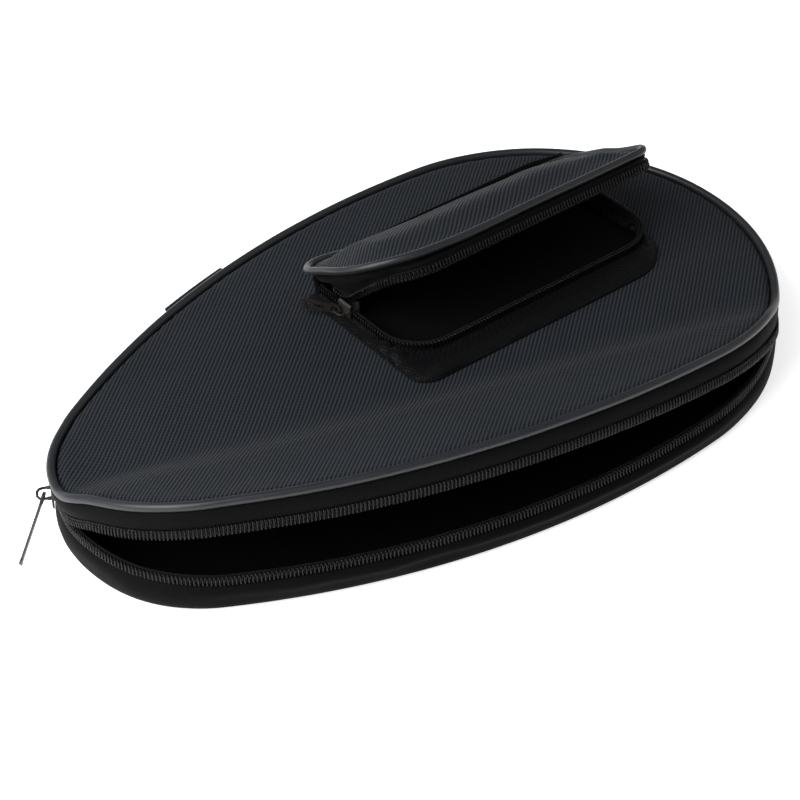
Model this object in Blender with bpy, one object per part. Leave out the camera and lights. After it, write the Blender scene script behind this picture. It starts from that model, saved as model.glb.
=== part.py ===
"""Soft zip case for a table tennis bat, lying flat with its near half lifted open.

The case is a teardrop: a wide round end at +X, a narrow round end at -X.
The near half of the top hinges up along a fold between the two ends of the open zip.
A ball pocket stands on the far half; its lid is propped open on its rear seam.
Lengths are metres, +Z is up and the underside of the case is at Z = 0.
"""

import math

import bmesh
import bpy
from mathutils import Matrix, Vector

MM = 0.001

# where the centre of the wide end lies, so that the whole object is centred on the origin
CASE_X = 0.067896
CASE_Y = 0.000253

# plan outline, measured at the centre of the piping
WIDE_RADIUS = 86.5 * MM
TIP_RADIUS = 51.3 * MM
CENTRE_DISTANCE = 155.6 * MM
SIDE_RADIUS = 322.0 * MM

# heights of the two shells
PIPING_RADIUS = 1.7 * MM
TOP_PIPING_Z = 28.8 * MM
TOP_PANEL_Z = 28.9 * MM
PANEL_HALF = 1.5 * MM
SPLIT_Z = 16.7 * MM
SPLIT_GAP = 1.0 * MM
ROW_HEIGHT = 4.0 * MM
GAP = 0.3 * MM

# the fold of the lifted half, and how far it is open at rest
FOLD_LEFT = 163.7
FOLD_RIGHT = -43.3
FOLD_Z = 30.6 * MM
REST_OPEN = 17.4

# where the zip ends on the far side, and where the slider stands
ZIP_FAR_END = 101.5
LOOP_START = 102.0
LOOP_STOP = 107.5
SLIDER_ANGLE = 151.5

# ball pocket, in plan around the wide end's centre; its lid is given as it lies when closed
BASE = (-76.2 * MM, 52.0 * MM, -21.5 * MM, 44.0 * MM)
MOUTH = (-73.0 * MM, 48.5 * MM, -11.0 * MM, 43.0 * MM)
LID = (-86.0 * MM, 46.0 * MM, -10.0 * MM, 44.0 * MM)
LID_CORNERS = (26.0 * MM, 7.0 * MM, 12.0 * MM, 14.0 * MM)
MOUTH_Z = 36.0 * MM
MOUTH_GAP = 0.8 * MM
SMALL_ROW = 3.8 * MM
LID_PIPING_Z = 45.6 * MM
LID_PIPE = 1.6 * MM
LID_HINGE_Y = 46.5 * MM
LID_HINGE_Z = 43.0 * MM
LID_OPEN = 27.4
SMALL_SLIDER_Y = 25.0 * MM


def clear_scene():
    for thing in list(bpy.data.objects):
        bpy.data.objects.remove(thing)
    for group in list(bpy.data.collections):
        bpy.data.collections.remove(group)


clear_scene()
PARTS = bpy.data.collections.new("paddle_case")
HELPERS = bpy.data.collections.new("paddle_case_cutters")
bpy.context.scene.collection.children.link(PARTS)
bpy.context.scene.collection.children.link(HELPERS)
HELPERS.hide_render = True


def material(name, colour, roughness, metallic=0.0):
    made = bpy.data.materials.new(name)
    made.use_nodes = True
    shader = made.node_tree.nodes["Principled BSDF"]
    shader.inputs["Base Color"].default_value = (*colour, 1.0)
    shader.inputs["Roughness"].default_value = roughness
    shader.inputs["Metallic"].default_value = metallic
    return made


NYLON = material("woven_nylon", (0.030, 0.034, 0.044), 0.75)
SATIN = material("gusset_fabric", (0.020, 0.021, 0.025), 0.55)
VINYL = material("piping_vinyl", (0.055, 0.058, 0.064), 0.42)
TAPE = material("zip_tape", (0.022, 0.023, 0.026), 0.80)
COIL = material("zip_coil", (0.040, 0.041, 0.044), 0.40)
LINING = material("lining_cloth", (0.012, 0.012, 0.013), 0.92)
METAL = material("blackened_metal", (0.055, 0.052, 0.052), 0.35, 0.9)


def place(thing, name, look, parent=None):
    thing.name = name
    thing.data.name = name
    PARTS.objects.link(thing)
    thing.data.materials.clear()
    thing.data.materials.append(look)
    if parent is not None:
        thing.parent = parent
    return thing


def rounded(thing):
    for face in thing.data.polygons:
        face.use_smooth = True
    thing.data.set_sharp_from_angle(angle=math.radians(40))


def empty(name, matrix, parent=None):
    made = bpy.data.objects.new(name, None)
    PARTS.objects.link(made)
    made.parent = parent
    made.matrix_world = matrix
    return made


def side_arc():
    """Centre of the long side arc, and the normal angles where it meets the two round ends."""
    wide = SIDE_RADIUS - WIDE_RADIUS
    tip = SIDE_RADIUS - TIP_RADIUS
    x = (tip**2 - wide**2 - CENTRE_DISTANCE**2) / (2 * CENTRE_DISTANCE)
    y = -math.sqrt(wide**2 - x**2)
    start = math.degrees(math.atan2(-y, -x))
    end = math.degrees(math.atan2(-y, -CENTRE_DISTANCE - x))
    return x, y, start, end


SIDE_X, SIDE_Y, SIDE_START, SIDE_END = side_arc()


def edge_point(angle, offset=0.0):
    """Point of the case outline whose outward normal points at this angle, moved out by offset."""
    turn = (angle + 180.0) % 360.0 - 180.0
    size = abs(turn)
    mirror = 1.0 if turn >= 0.0 else -1.0
    if size <= SIDE_START:
        x, y, radius = 0.0, 0.0, WIDE_RADIUS
    elif size <= SIDE_END:
        x, y, radius = SIDE_X, SIDE_Y, SIDE_RADIUS
    else:
        x, y, radius = -CENTRE_DISTANCE, 0.0, TIP_RADIUS
    reach = radius + offset
    across = x + reach * math.cos(math.radians(size))
    along = y + reach * math.sin(math.radians(size))
    return Vector((across + CASE_X, mirror * along + CASE_Y, 0.0))


def edge_angles(start, stop):
    """Normal angles from start to stop, closer together on the long flat sides."""
    marks = {start, stop}
    for lap in (-360.0, 0.0, 360.0):
        for mirror in (-1.0, 1.0):
            marks.update(lap + mirror * (SIDE_START + k * (SIDE_END - SIDE_START) / 8) for k in range(9))
        marks.update(lap + k * SIDE_START / 9.0 for k in range(-8, 9))
        marks.update(lap + 180.0 + k * (180.0 - SIDE_END) / 6.0 for k in range(-5, 6))
    inside = sorted(a for a in marks if start < a < stop)
    kept = [start]
    for angle in inside:
        if angle - kept[-1] > 1.0 and stop - angle > 1.0:
            kept.append(angle)
    kept.append(stop)
    return kept


def loft(name, rings, look, closed, parent=None):
    """Skin through rings of equal length; the ends are capped unless the loft closes on itself."""
    mesh = bmesh.new()
    rows = [[mesh.verts.new(p) for p in ring] for ring in rings]
    last = len(rows) if closed else len(rows) - 1
    for i in range(last):
        here, there = rows[i], rows[(i + 1) % len(rows)]
        for k in range(len(here)):
            after = (k + 1) % len(here)
            mesh.faces.new((here[k], here[after], there[after], there[k]))
    if not closed:
        mesh.faces.new(rows[0][::-1])
        mesh.faces.new(rows[-1])
    bmesh.ops.recalc_face_normals(mesh, faces=mesh.faces)
    data = bpy.data.meshes.new(name)
    mesh.to_mesh(data)
    mesh.free()
    made = place(bpy.data.objects.new(name, data), name, look, parent)
    rounded(made)
    return made


def band(name, profile, look, start, stop, parent=None):
    """The (offset, height) profile carried along the case outline from one normal angle to another."""
    closed = stop - start >= 360.0
    angles = edge_angles(start, stop)
    if closed:
        angles = angles[:-1]
    rings = []
    for angle in angles:
        ring = [edge_point(angle, out) + Vector((0.0, 0.0, up)) for out, up in profile]
        if parent is not None:
            ring = [parent["inverse"] @ p for p in ring]
        rings.append(ring)
    return loft(name, rings, look, closed, parent["empty"] if parent else None)


def tube(name, points, radius, look, cyclic=False, parent=None, sides=1):
    """A round cord of poly points with its ends filled."""
    data = bpy.data.curves.new(name, "CURVE")
    data.dimensions = "3D"
    data.bevel_depth = radius
    data.bevel_resolution = sides
    data.use_fill_caps = not cyclic
    spline = data.splines.new("POLY")
    spline.points.add(len(points) - 1)
    for slot, point in zip(spline.points, points):
        slot.co = (*point, 1.0)
    spline.use_cyclic_u = cyclic
    spline.use_smooth = True
    return place(bpy.data.objects.new(name, data), name, look, parent)


def plate(name, outlines, half, look, parent=None, matrix=None, edge=0.0):
    """A flat plate: outer outline and any holes, filled, with an optional rounded edge."""
    data = bpy.data.curves.new(name, "CURVE")
    data.dimensions = "2D"
    data.fill_mode = "BOTH"
    data.extrude = half - edge
    data.bevel_depth = edge
    data.offset = -edge
    data.bevel_resolution = 1
    for points in outlines:
        spline = data.splines.new("POLY")
        spline.points.add(len(points) - 1)
        for slot, point in zip(spline.points, points):
            slot.co = (point[0], point[1], 0.0, 1.0)
        spline.use_cyclic_u = True
    made = place(bpy.data.objects.new(name, data), name, look, parent)
    if matrix is not None:
        made.matrix_local = matrix
    return made


def level(x, y, z):
    return Matrix.Translation((x, y, z))


def turned(origin, x_axis, y_axis):
    """Frame with these in-plane directions, at this point."""
    across = Vector(x_axis).normalized()
    normal = across.cross(Vector(y_axis)).normalized()
    along = normal.cross(across)
    made = Matrix((across, along, normal)).transposed().to_4x4()
    made.translation = origin
    return made


def circle(radius, steps, x=0.0, y=0.0):
    return [
        (x + radius * math.cos(math.tau * k / steps), y + radius * math.sin(math.tau * k / steps))
        for k in range(steps)
    ]


# ------------------------------------------------------------------ cross sections
ROW_LOW = SPLIT_Z - SPLIT_GAP / 2
ROW_HIGH = SPLIT_Z + SPLIT_GAP / 2


def box_profile(inner, outer, low, high):
    return [(inner, low), (outer, low), (outer, high), (inner, high)]


def row_profile(low, high):
    """A zip row: a rounded rib of coil standing on the outside of its tape."""
    soft = 0.5 * MM
    return [
        (0.1 * MM, low),
        (2.0 * MM - soft, low),
        (2.0 * MM, low + soft),
        (2.0 * MM, high - soft),
        (2.0 * MM - soft, high),
        (0.1 * MM, high),
    ]


LOWER_WALL = [
    (-2.6 * MM, 0.5 * MM),
    (0.6 * MM, 1.1 * MM),
    (2.5 * MM, 3.2 * MM),
    (3.0 * MM, 6.0 * MM),
    (2.3 * MM, 9.2 * MM),
    (1.3 * MM, ROW_LOW - ROW_HEIGHT - GAP),
    (-0.8 * MM, ROW_LOW - ROW_HEIGHT - GAP),
    (0.3 * MM, 8.8 * MM),
    (1.0 * MM, 6.0 * MM),
    (0.7 * MM, 4.4 * MM),
    (-0.5 * MM, 3.2 * MM),
    (-2.6 * MM, 2.9 * MM),
]
UPPER_WALL = box_profile(-1.2 * MM, 0.9 * MM, ROW_HIGH + ROW_HEIGHT + GAP, TOP_PIPING_Z - PIPING_RADIUS - GAP)
TAPE_LOW = box_profile(-1.1 * MM, -0.2 * MM, ROW_LOW - ROW_HEIGHT, ROW_LOW)
TAPE_HIGH = box_profile(-1.1 * MM, -0.2 * MM, ROW_HIGH, ROW_HIGH + ROW_HEIGHT)
COIL_LOW = row_profile(ROW_LOW - ROW_HEIGHT, ROW_LOW)
COIL_HIGH = row_profile(ROW_HIGH, ROW_HIGH + ROW_HEIGHT)
SPINE = box_profile(-0.8 * MM, 1.1 * MM, ROW_LOW - ROW_HEIGHT, ROW_HIGH + ROW_HEIGHT)

NEAR_START = FOLD_LEFT + 0.35
NEAR_STOP = 360.0 + FOLD_RIGHT - 0.35
FAR_START = FOLD_RIGHT + 0.35
FAR_STOP = FOLD_LEFT - 0.35


def outline(start, stop, offset):
    return [(p.x, p.y) for p in (edge_point(a, offset) for a in edge_angles(start, stop))]


# ------------------------------------------------------------------ lower shell
plate(
    "bottom_panel",
    [outline(0.0, 360.0, -2.9 * MM)[:-1]],
    1.5 * MM,
    NYLON,
    matrix=level(0, 0, 1.5 * MM),
)
band("lower_wall", LOWER_WALL, SATIN, 0.0, 360.0)
band("lower_zip_tape", TAPE_LOW, TAPE, ZIP_FAR_END, 360.0 + FOLD_RIGHT)
band("lower_zip_coil", COIL_LOW, COIL, ZIP_FAR_END, 360.0 + FOLD_RIGHT)
plate(
    "floor_lining",
    [outline(0.0, 360.0, -4.0 * MM)[:-1]],
    0.6 * MM,
    LINING,
    matrix=level(0, 0, 3.9 * MM),
)
band("wall_lining", box_profile(-3.9 * MM, -3.1 * MM, 4.9 * MM, 15.4 * MM), LINING, 0.0, 360.0)

# ------------------------------------------------------------------ far half of the upper shell
band("spine_wall", SPINE, NYLON, FOLD_RIGHT + 2.6, ZIP_FAR_END - 0.4)
band("zip_end_tack", SPINE, TAPE, FOLD_RIGHT + 0.2, FOLD_RIGHT + 2.3)
band("closed_zip_tape", TAPE_HIGH, TAPE, ZIP_FAR_END, FAR_STOP)
band("closed_zip_coil", COIL_HIGH, COIL, ZIP_FAR_END, FAR_STOP)
band("far_wall", UPPER_WALL, SATIN, FAR_START, FAR_STOP)
tube(
    "far_piping",
    [edge_point(a) + Vector((0, 0, TOP_PIPING_Z)) for a in edge_angles(FAR_START, FAR_STOP)],
    PIPING_RADIUS,
    VINYL,
)


def half_panel(side, offset, back):
    """Outline of one half of the top (side 1 far, -1 near), its straight edge set back from the fold."""
    left = edge_point(FOLD_LEFT)
    along = (edge_point(FOLD_RIGHT) - left).normalized()
    across = Vector((-along.y, along.x, 0.0)) * side
    points = [edge_point(a, offset) for a in edge_angles(0.0, 360.0)[:-1]]
    kept = []
    for k, here in enumerate(points):
        before = points[k - 1]
        depth = (here - left).dot(across) - back
        last = (before - left).dot(across) - back
        if depth * last < 0.0:
            kept.append(before + (here - before) * (last / (last - depth)))
        if depth > 0.0:
            kept.append(here)
    return [(p.x, p.y) for p in kept]


plate(
    "far_panel",
    [half_panel(1.0, -2.1 * MM, 0.2 * MM)],
    PANEL_HALF,
    NYLON,
    matrix=level(0, 0, TOP_PANEL_Z),
)
plate(
    "far_lining",
    [half_panel(1.0, -3.0 * MM, 1.0 * MM)],
    0.5 * MM,
    LINING,
    matrix=level(0, 0, TOP_PANEL_Z - PANEL_HALF - 0.8 * MM),
)

band(
    "side_loop",
    box_profile(1.3 * MM, 6.4 * MM, TOP_PIPING_Z - 4.6 * MM, TOP_PIPING_Z - 1.9 * MM),
    NYLON,
    LOOP_START,
    LOOP_STOP,
)

# ------------------------------------------------------------------ the lifted near half
FOLD_A = edge_point(FOLD_LEFT) + Vector((0, 0, FOLD_Z))
FOLD_B = edge_point(FOLD_RIGHT) + Vector((0, 0, FOLD_Z))
FOLD_AXIS = (FOLD_B - FOLD_A).normalized()
FOLD_MIDDLE = (FOLD_A + FOLD_B) / 2
CLOSED = turned(FOLD_MIDDLE, FOLD_AXIS, Vector((0, 0, 1)).cross(FOLD_AXIS))
OPENED = CLOSED @ Matrix.Rotation(-math.radians(REST_OPEN), 4, "X")
flap_axis = empty("flap_axis", OPENED)
flap = {"empty": flap_axis, "inverse": CLOSED.inverted()}

band("flap_wall", UPPER_WALL, SATIN, NEAR_START, NEAR_STOP, flap)
band("flap_zip_tape", TAPE_HIGH, TAPE, NEAR_START, NEAR_STOP, flap)
band("flap_zip_coil", COIL_HIGH, COIL, NEAR_START, NEAR_STOP, flap)
tube(
    "flap_piping",
    [
        flap["inverse"] @ (edge_point(a) + Vector((0, 0, TOP_PIPING_Z)))
        for a in edge_angles(NEAR_START, NEAR_STOP)
    ],
    PIPING_RADIUS,
    VINYL,
    parent=flap_axis,
)
plate(
    "flap_panel",
    [half_panel(-1.0, -2.1 * MM, 0.2 * MM)],
    PANEL_HALF,
    NYLON,
    flap_axis,
    flap["inverse"] @ level(0, 0, TOP_PANEL_Z),
)
plate(
    "flap_lining",
    [half_panel(-1.0, -3.0 * MM, 1.0 * MM)],
    0.5 * MM,
    LINING,
    flap_axis,
    flap["inverse"] @ level(0, 0, TOP_PANEL_Z - PANEL_HALF - 0.8 * MM),
)

# ------------------------------------------------------------------ main slider and its pull
TIP_CENTRE = Vector((CASE_X - CENTRE_DISTANCE, CASE_Y, SPLIT_Z))
turn = math.radians(SLIDER_ANGLE)
OUTWARD = Vector((math.cos(turn), math.sin(turn), 0.0))
ALONG = Vector((-math.sin(turn), math.cos(turn), 0.0))
UP = Vector((0.0, 0.0, 1.0))
slider_axis = empty("slider_axis", level(*TIP_CENTRE))
SLIDER_AT = OUTWARD * TIP_RADIUS


def slider_section(inner, outer, high, thick):
    """I section of a zip slider: inner plate, thin web between the rows, outer plate."""
    web = 0.25 * MM
    return [
        (inner, -high),
        (inner + thick, -high),
        (inner + thick, -web),
        (outer - thick, -web),
        (outer - thick, -high),
        (outer, -high * 0.8),
        (outer, high * 0.8),
        (outer - thick, high),
        (outer - thick, web),
        (inner + thick, web),
        (inner + thick, high),
        (inner, high),
    ]


plate(
    "slider_body",
    [slider_section(-2.5 * MM, 3.3 * MM, 3.9 * MM, 0.8 * MM)],
    4.4 * MM,
    METAL,
    slider_axis,
    turned(SLIDER_AT, OUTWARD, UP),
)


def bail_points(reach, half):
    """An arched wire standing on a slider's outer plate: (along, outward) pairs."""
    return [
        (-half, 0.0),
        (-half, reach * 0.5),
        (-half * 0.85, reach * 0.8),
        (-half * 0.4, reach),
        (half * 0.4, reach),
        (half * 0.85, reach * 0.8),
        (half, reach * 0.5),
        (half, 0.0),
    ]


tube(
    "slider_bail",
    [
        SLIDER_AT + OUTWARD * (4.1 * MM + out) + ALONG * side
        for side, out in bail_points(4.0 * MM, 2.9 * MM)
    ],
    0.5 * MM,
    METAL,
    parent=slider_axis,
    sides=2,
)


def pull_outline(length, root, tip, flare):
    """A flat pull: round eye, straight shank widening a little, and a short crossbar end."""
    half_turn = [
        (-root * math.cos(math.pi * k / 8 - math.pi / 2), root * math.sin(math.pi * k / 8 - math.pi / 2))
        for k in range(9)
    ]
    lower = [(root * 0.9, -tip * 0.8), (length - 2.0 * MM, -tip), (length - 1.4 * MM, -flare)]
    end = [(length, -flare), (length, flare)]
    upper = [(length - 1.4 * MM, flare), (length - 2.0 * MM, tip), (root * 0.9, tip * 0.8)]
    return lower + end + upper + half_turn[::-1]


PULL_DIRECTION = Vector((-0.690, -0.390, -0.610)).normalized()
PULL_WIDTH = Vector((-0.358, -0.548, 0.756)).normalized()
EYE_AT = TIP_CENTRE + SLIDER_AT + OUTWARD * 6.4 * MM + ALONG * 2.9 * MM
pull_axis = empty("pull_axis", turned(EYE_AT, PULL_DIRECTION, PULL_WIDTH))
plate(
    "pull_tab",
    [pull_outline(23.9 * MM, 2.7 * MM, 1.7 * MM, 2.4 * MM), circle(1.95 * MM, 12)],
    0.4 * MM,
    METAL,
    pull_axis,
    Matrix.Identity(4),
)

# ------------------------------------------------------------------ ball pocket
TOP_Z = TOP_PANEL_Z + PANEL_HALF


def at(x, y, z):
    return Vector((x + CASE_X, y + CASE_Y, z))


def pocket_side(box, corner, back=None, steps=6):
    """Left side, front and right side of a pocket outline, from rear left to rear right."""
    x0, x1, front, rear = box
    rear = rear if back is None else back
    points = [(x0, rear), (x0, (rear + front + corner) / 2)]
    for k in range(steps + 1):
        a = math.pi + (math.pi / 2) * k / steps
        points.append((x0 + corner + corner * math.cos(a), front + corner + corner * math.sin(a)))
    for k in range(1, 6):
        points.append((x0 + corner + (x1 - x0 - 2 * corner) * k / 6, front))
    for k in range(steps + 1):
        a = 1.5 * math.pi + (math.pi / 2) * k / steps
        points.append((x1 - corner + corner * math.cos(a), front + corner + corner * math.sin(a)))
    points.append((x1, (rear + front + corner) / 2))
    points.append((x1, rear))
    return points


def set_in(path, amount):
    """The same open path moved towards the inside of the pocket."""
    moved = []
    for k, (x, y) in enumerate(path):
        before = Vector(path[max(k - 1, 0)])
        after = Vector(path[min(k + 1, len(path) - 1)])
        step = (after - before).normalized()
        moved.append((x - step.y * amount, y + step.x * amount))
    return moved


def pocket_skin(name, levels, look, parent=None):
    """A strip through (path, height) levels, listed round its cross section."""
    rings = []
    for k in range(len(levels[0][0])):
        ring = [at(*path[k], height) for path, height in levels]
        if parent is not None:
            ring = [parent["inverse"] @ p for p in ring]
        rings.append(ring)
    return loft(name, rings, look, False, parent["empty"] if parent else None)


def tape_levels(path, low, high):
    inner, outer = set_in(path, 1.0 * MM), set_in(path, 0.2 * MM)
    return [(outer, low), (outer, high), (inner, high), (inner, low)]


def coil_levels(path, low, high):
    near, far = set_in(path, -0.1 * MM), set_in(path, -1.5 * MM)
    return [(near, low), (far, low + 0.4 * MM), (far, high - 0.4 * MM), (near, high)]


base_path = pocket_side(BASE, 13.0 * MM)
mouth_path = pocket_side(MOUTH, 16.0 * MM)
LOW_TOP = MOUTH_Z - MOUTH_GAP / 2
HIGH_FOOT = MOUTH_Z + MOUTH_GAP / 2

pocket_skin(
    "pocket_welt",
    [
        (set_in(base_path, -1.6 * MM), TOP_Z + 0.3 * MM),
        (set_in(base_path, -1.6 * MM), TOP_Z + 0.8 * MM),
        (set_in(base_path, 1.2 * MM), TOP_Z + 0.8 * MM),
        (set_in(base_path, 1.2 * MM), TOP_Z + 0.3 * MM),
    ],
    NYLON,
)
pocket_skin(
    "pocket_gusset",
    [
        (base_path, TOP_Z + 1.1 * MM),
        (base_path, TOP_Z + 1.7 * MM),
        (set_in(mouth_path, -1.9 * MM), TOP_Z + 2.0 * MM),
        (set_in(mouth_path, -1.9 * MM), TOP_Z + 1.2 * MM),
    ],
    SATIN,
)
pocket_skin("pocket_lower_tape", tape_levels(mouth_path, LOW_TOP - SMALL_ROW, LOW_TOP), TAPE)
pocket_skin("pocket_lower_coil", coil_levels(mouth_path, LOW_TOP - 3.0 * MM, LOW_TOP), COIL)
BACK_LEFT, BACK_RIGHT, BACK_HIGH = MOUTH[0] + 2.0 * MM, LID[1] - 4.0 * MM, LID_HINGE_Z - TOP_Z - 1.9 * MM
plate(
    "pocket_back_wall",
    [[(BACK_LEFT, 0.0), (BACK_RIGHT, 0.0), (BACK_RIGHT, BACK_HIGH), (BACK_LEFT, BACK_HIGH)]],
    0.6 * MM,
    SATIN,
    matrix=turned(at(0.0, LID_HINGE_Y - 0.4 * MM, TOP_Z + 1.1 * MM), (1, 0, 0), (0, 0, 1)),
)

# ------------------------------------------------------------------ pocket lid
LID_CLOSED = level(*at((LID[0] + LID[1]) / 2, LID_HINGE_Y, LID_HINGE_Z))
lid_axis = empty("pocket_lid_axis", LID_CLOSED @ Matrix.Rotation(-math.radians(LID_OPEN), 4, "X"))
lid = {"empty": lid_axis, "inverse": LID_CLOSED.inverted()}


def lid_edge(inset, steps=6):
    """Closed plan outline of the lid, from its rear right corner anticlockwise."""
    x0, x1, y0, y1 = LID[0] + inset, LID[1] - inset, LID[2] + inset, LID[3] - inset
    front_left, front_right, rear_right, rear_left = (c - inset for c in LID_CORNERS)
    points = []
    for cx, cy, corner, first in (
        (x1 - rear_right, y1 - rear_right, rear_right, 0.0),
        (x0 + rear_left, y1 - rear_left, rear_left, 0.5),
        (x0 + front_left, y0 + front_left, front_left, 1.0),
        (x1 - front_right, y0 + front_right, front_right, 1.5),
    ):
        for k in range(steps + 1):
            a = math.pi * (first + 0.5 * k / steps)
            points.append((cx + corner * math.cos(a), cy + corner * math.sin(a)))
    return points


tube(
    "lid_piping",
    [lid["inverse"] @ at(x, y, LID_PIPING_Z) for x, y in lid_edge(0.0)],
    LID_PIPE,
    VINYL,
    cyclic=True,
    parent=lid_axis,
    sides=2,
)


def lid_crown():
    """Crowned fabric top: rings shrinking to a middle ridge, and the same again underneath."""
    mesh = bmesh.new()
    layers = []
    for drop in (0.0, 1.4 * MM):
        rows = []
        for inset, rise in ((1.95, 0.3), (4.5, 1.7), (8.0, 2.9), (11.5, 3.4)):
            height = LID_PIPING_Z + rise * MM - drop
            row = [mesh.verts.new(lid["inverse"] @ at(x, y, height)) for x, y in lid_edge(inset * MM)]
            rows.append(row)
        layers.append(rows)
    for rows in layers:
        for here, there in zip(rows, rows[1:]):
            for k in range(len(here)):
                after = (k + 1) % len(here)
                mesh.faces.new((here[k], here[after], there[after], there[k]))
        mesh.faces.new(rows[-1])
    outer, inner = layers[0][0], layers[1][0]
    for k in range(len(outer)):
        after = (k + 1) % len(outer)
        mesh.faces.new((inner[k], inner[after], outer[after], outer[k]))
    bmesh.ops.recalc_face_normals(mesh, faces=mesh.faces)
    data = bpy.data.meshes.new("lid_panel")
    mesh.to_mesh(data)
    mesh.free()
    rounded(place(bpy.data.objects.new("lid_panel", data), "lid_panel", NYLON, lid_axis))


lid_crown()
lid_path = pocket_side(LID, 20.0 * MM, LID[3] - 9.0 * MM)
row_path = pocket_side(MOUTH, 16.0 * MM, LID[3] - 9.0 * MM)
FOOT = HIGH_FOOT + SMALL_ROW
BELOW = LID_PIPING_Z - LID_PIPE - GAP
pocket_skin(
    "lid_wall",
    [
        (row_path, FOOT + GAP),
        (set_in(lid_path, 0.4 * MM), BELOW),
        (set_in(lid_path, 1.6 * MM), BELOW),
        (set_in(row_path, 1.2 * MM), FOOT + GAP),
    ],
    SATIN,
    lid,
)
pocket_skin("lid_zip_tape", tape_levels(row_path, HIGH_FOOT, FOOT), TAPE, lid)
pocket_skin("lid_zip_coil", coil_levels(row_path, HIGH_FOOT, HIGH_FOOT + 3.0 * MM), COIL, lid)

# ------------------------------------------------------------------ pocket slider and its pull
LEFT = Vector((-1.0, 0.0, 0.0))
FORWARD = Vector((0.0, 1.0, 0.0))
SMALL_AT = at(MOUTH[0], SMALL_SLIDER_Y, MOUTH_Z)
small_axis = empty("pocket_slider_axis", level(*SMALL_AT))
plate(
    "pocket_slider_body",
    [slider_section(-2.0 * MM, 2.6 * MM, 2.9 * MM, 0.7 * MM)],
    3.4 * MM,
    METAL,
    small_axis,
    turned(Vector((0, 0, 0)), LEFT, UP),
)
tube(
    "pocket_slider_bail",
    [LEFT * (3.35 * MM + out) + FORWARD * side for side, out in bail_points(3.0 * MM, 2.5 * MM)],
    0.45 * MM,
    METAL,
    parent=small_axis,
    sides=2,
)
SMALL_PULL = Vector((-0.58, 0.80, 0.0)).normalized()
SMALL_EYE = SMALL_AT + LEFT * 5.1 * MM + FORWARD * 2.5 * MM
small_pull_axis = empty("pocket_pull_axis", turned(SMALL_EYE, SMALL_PULL, UP))


def slot_hole(start, stop, half):
    return [(start, -half), (stop, -half), (stop, half), (start, half)]


plate(
    "pocket_pull_tab",
    [
        pull_outline(13.0 * MM, 2.2 * MM, 2.2 * MM, 2.6 * MM),
        circle(1.4 * MM, 12),
        slot_hole(4.2 * MM, 10.2 * MM, 1.0 * MM),
    ],
    0.35 * MM,
    METAL,
    small_pull_axis,
    Matrix.Identity(4),
)

bpy.context.view_layer.update()
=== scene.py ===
"""The look of the soft zip case: woven panels, piping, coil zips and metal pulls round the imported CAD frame.

Plan positions are measured, like the CAD, from the centre of the wide round end, in millimetres.
"""

import math

import bmesh
import bpy
import numpy as np
from mathutils import Matrix, Vector, noise


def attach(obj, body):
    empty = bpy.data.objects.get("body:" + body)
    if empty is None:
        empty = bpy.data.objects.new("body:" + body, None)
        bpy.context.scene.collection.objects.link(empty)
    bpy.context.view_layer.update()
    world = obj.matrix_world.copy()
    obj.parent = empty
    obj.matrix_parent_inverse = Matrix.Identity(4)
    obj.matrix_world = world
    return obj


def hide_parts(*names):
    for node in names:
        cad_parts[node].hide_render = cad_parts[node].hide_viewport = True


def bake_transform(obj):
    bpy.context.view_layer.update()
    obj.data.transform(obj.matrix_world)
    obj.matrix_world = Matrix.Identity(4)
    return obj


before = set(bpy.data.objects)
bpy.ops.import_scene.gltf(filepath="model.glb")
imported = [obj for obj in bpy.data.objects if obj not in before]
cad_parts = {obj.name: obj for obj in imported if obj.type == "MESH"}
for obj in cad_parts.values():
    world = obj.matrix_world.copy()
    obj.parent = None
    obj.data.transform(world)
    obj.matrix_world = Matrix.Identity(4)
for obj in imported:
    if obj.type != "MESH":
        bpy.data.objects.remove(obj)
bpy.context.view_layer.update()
MM = 0.001

# ------------------------------------------------------------------ the case's plan, as in the CAD
CASE = np.array([67.896, 0.253])
WIDE_R, TIP_R, CENTRES, SIDE_R = 86.5, 51.3, 155.6, 322.0
OUTLINE_LONG = 790.0
PIPE_R, PIPE_Z, SPLIT_Z = 1.62, 28.8, 16.7
FOLD_LEFT, FOLD_RIGHT, FOLD_Z, REST_OPEN = 163.7, -43.3, 30.6, 17.4
ZIP_FAR = 101.5

wide_gap, tip_gap = SIDE_R - WIDE_R, SIDE_R - TIP_R
SIDE_X = (tip_gap**2 - wide_gap**2 - CENTRES**2) / (2 * CENTRES)
SIDE_Y = -math.sqrt(wide_gap**2 - SIDE_X**2)
SIDE_FROM = math.degrees(math.atan2(-SIDE_Y, -SIDE_X))
SIDE_TO = math.degrees(math.atan2(-SIDE_Y, -CENTRES - SIDE_X))


def edge(angle, out=0.0):
    """Plan point of the outline whose normal points at this angle, moved outward."""
    turn = (angle + 180.0) % 360.0 - 180.0
    size, side = abs(turn), (1.0 if turn >= 0 else -1.0)
    if size <= SIDE_FROM:
        x, y, r = 0.0, 0.0, WIDE_R
    elif size <= SIDE_TO:
        x, y, r = SIDE_X, SIDE_Y, SIDE_R
    else:
        x, y, r = -CENTRES, 0.0, TIP_R
    r += out
    return np.array([x + r * math.cos(math.radians(size)), side * (y + r * math.sin(math.radians(size)))])


def run_of(path):
    """Length along a path to each of its points."""
    return np.concatenate([[0], np.cumsum(np.linalg.norm(np.diff(path, axis=0), axis=1))])


def arc_table(start, stop, step=0.25):
    """Normal angles and the arc length to each, for even spacing along the edge."""
    angles = np.arange(start, stop + step / 2, step)
    return angles, run_of(np.array([edge(a) for a in angles]))


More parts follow.
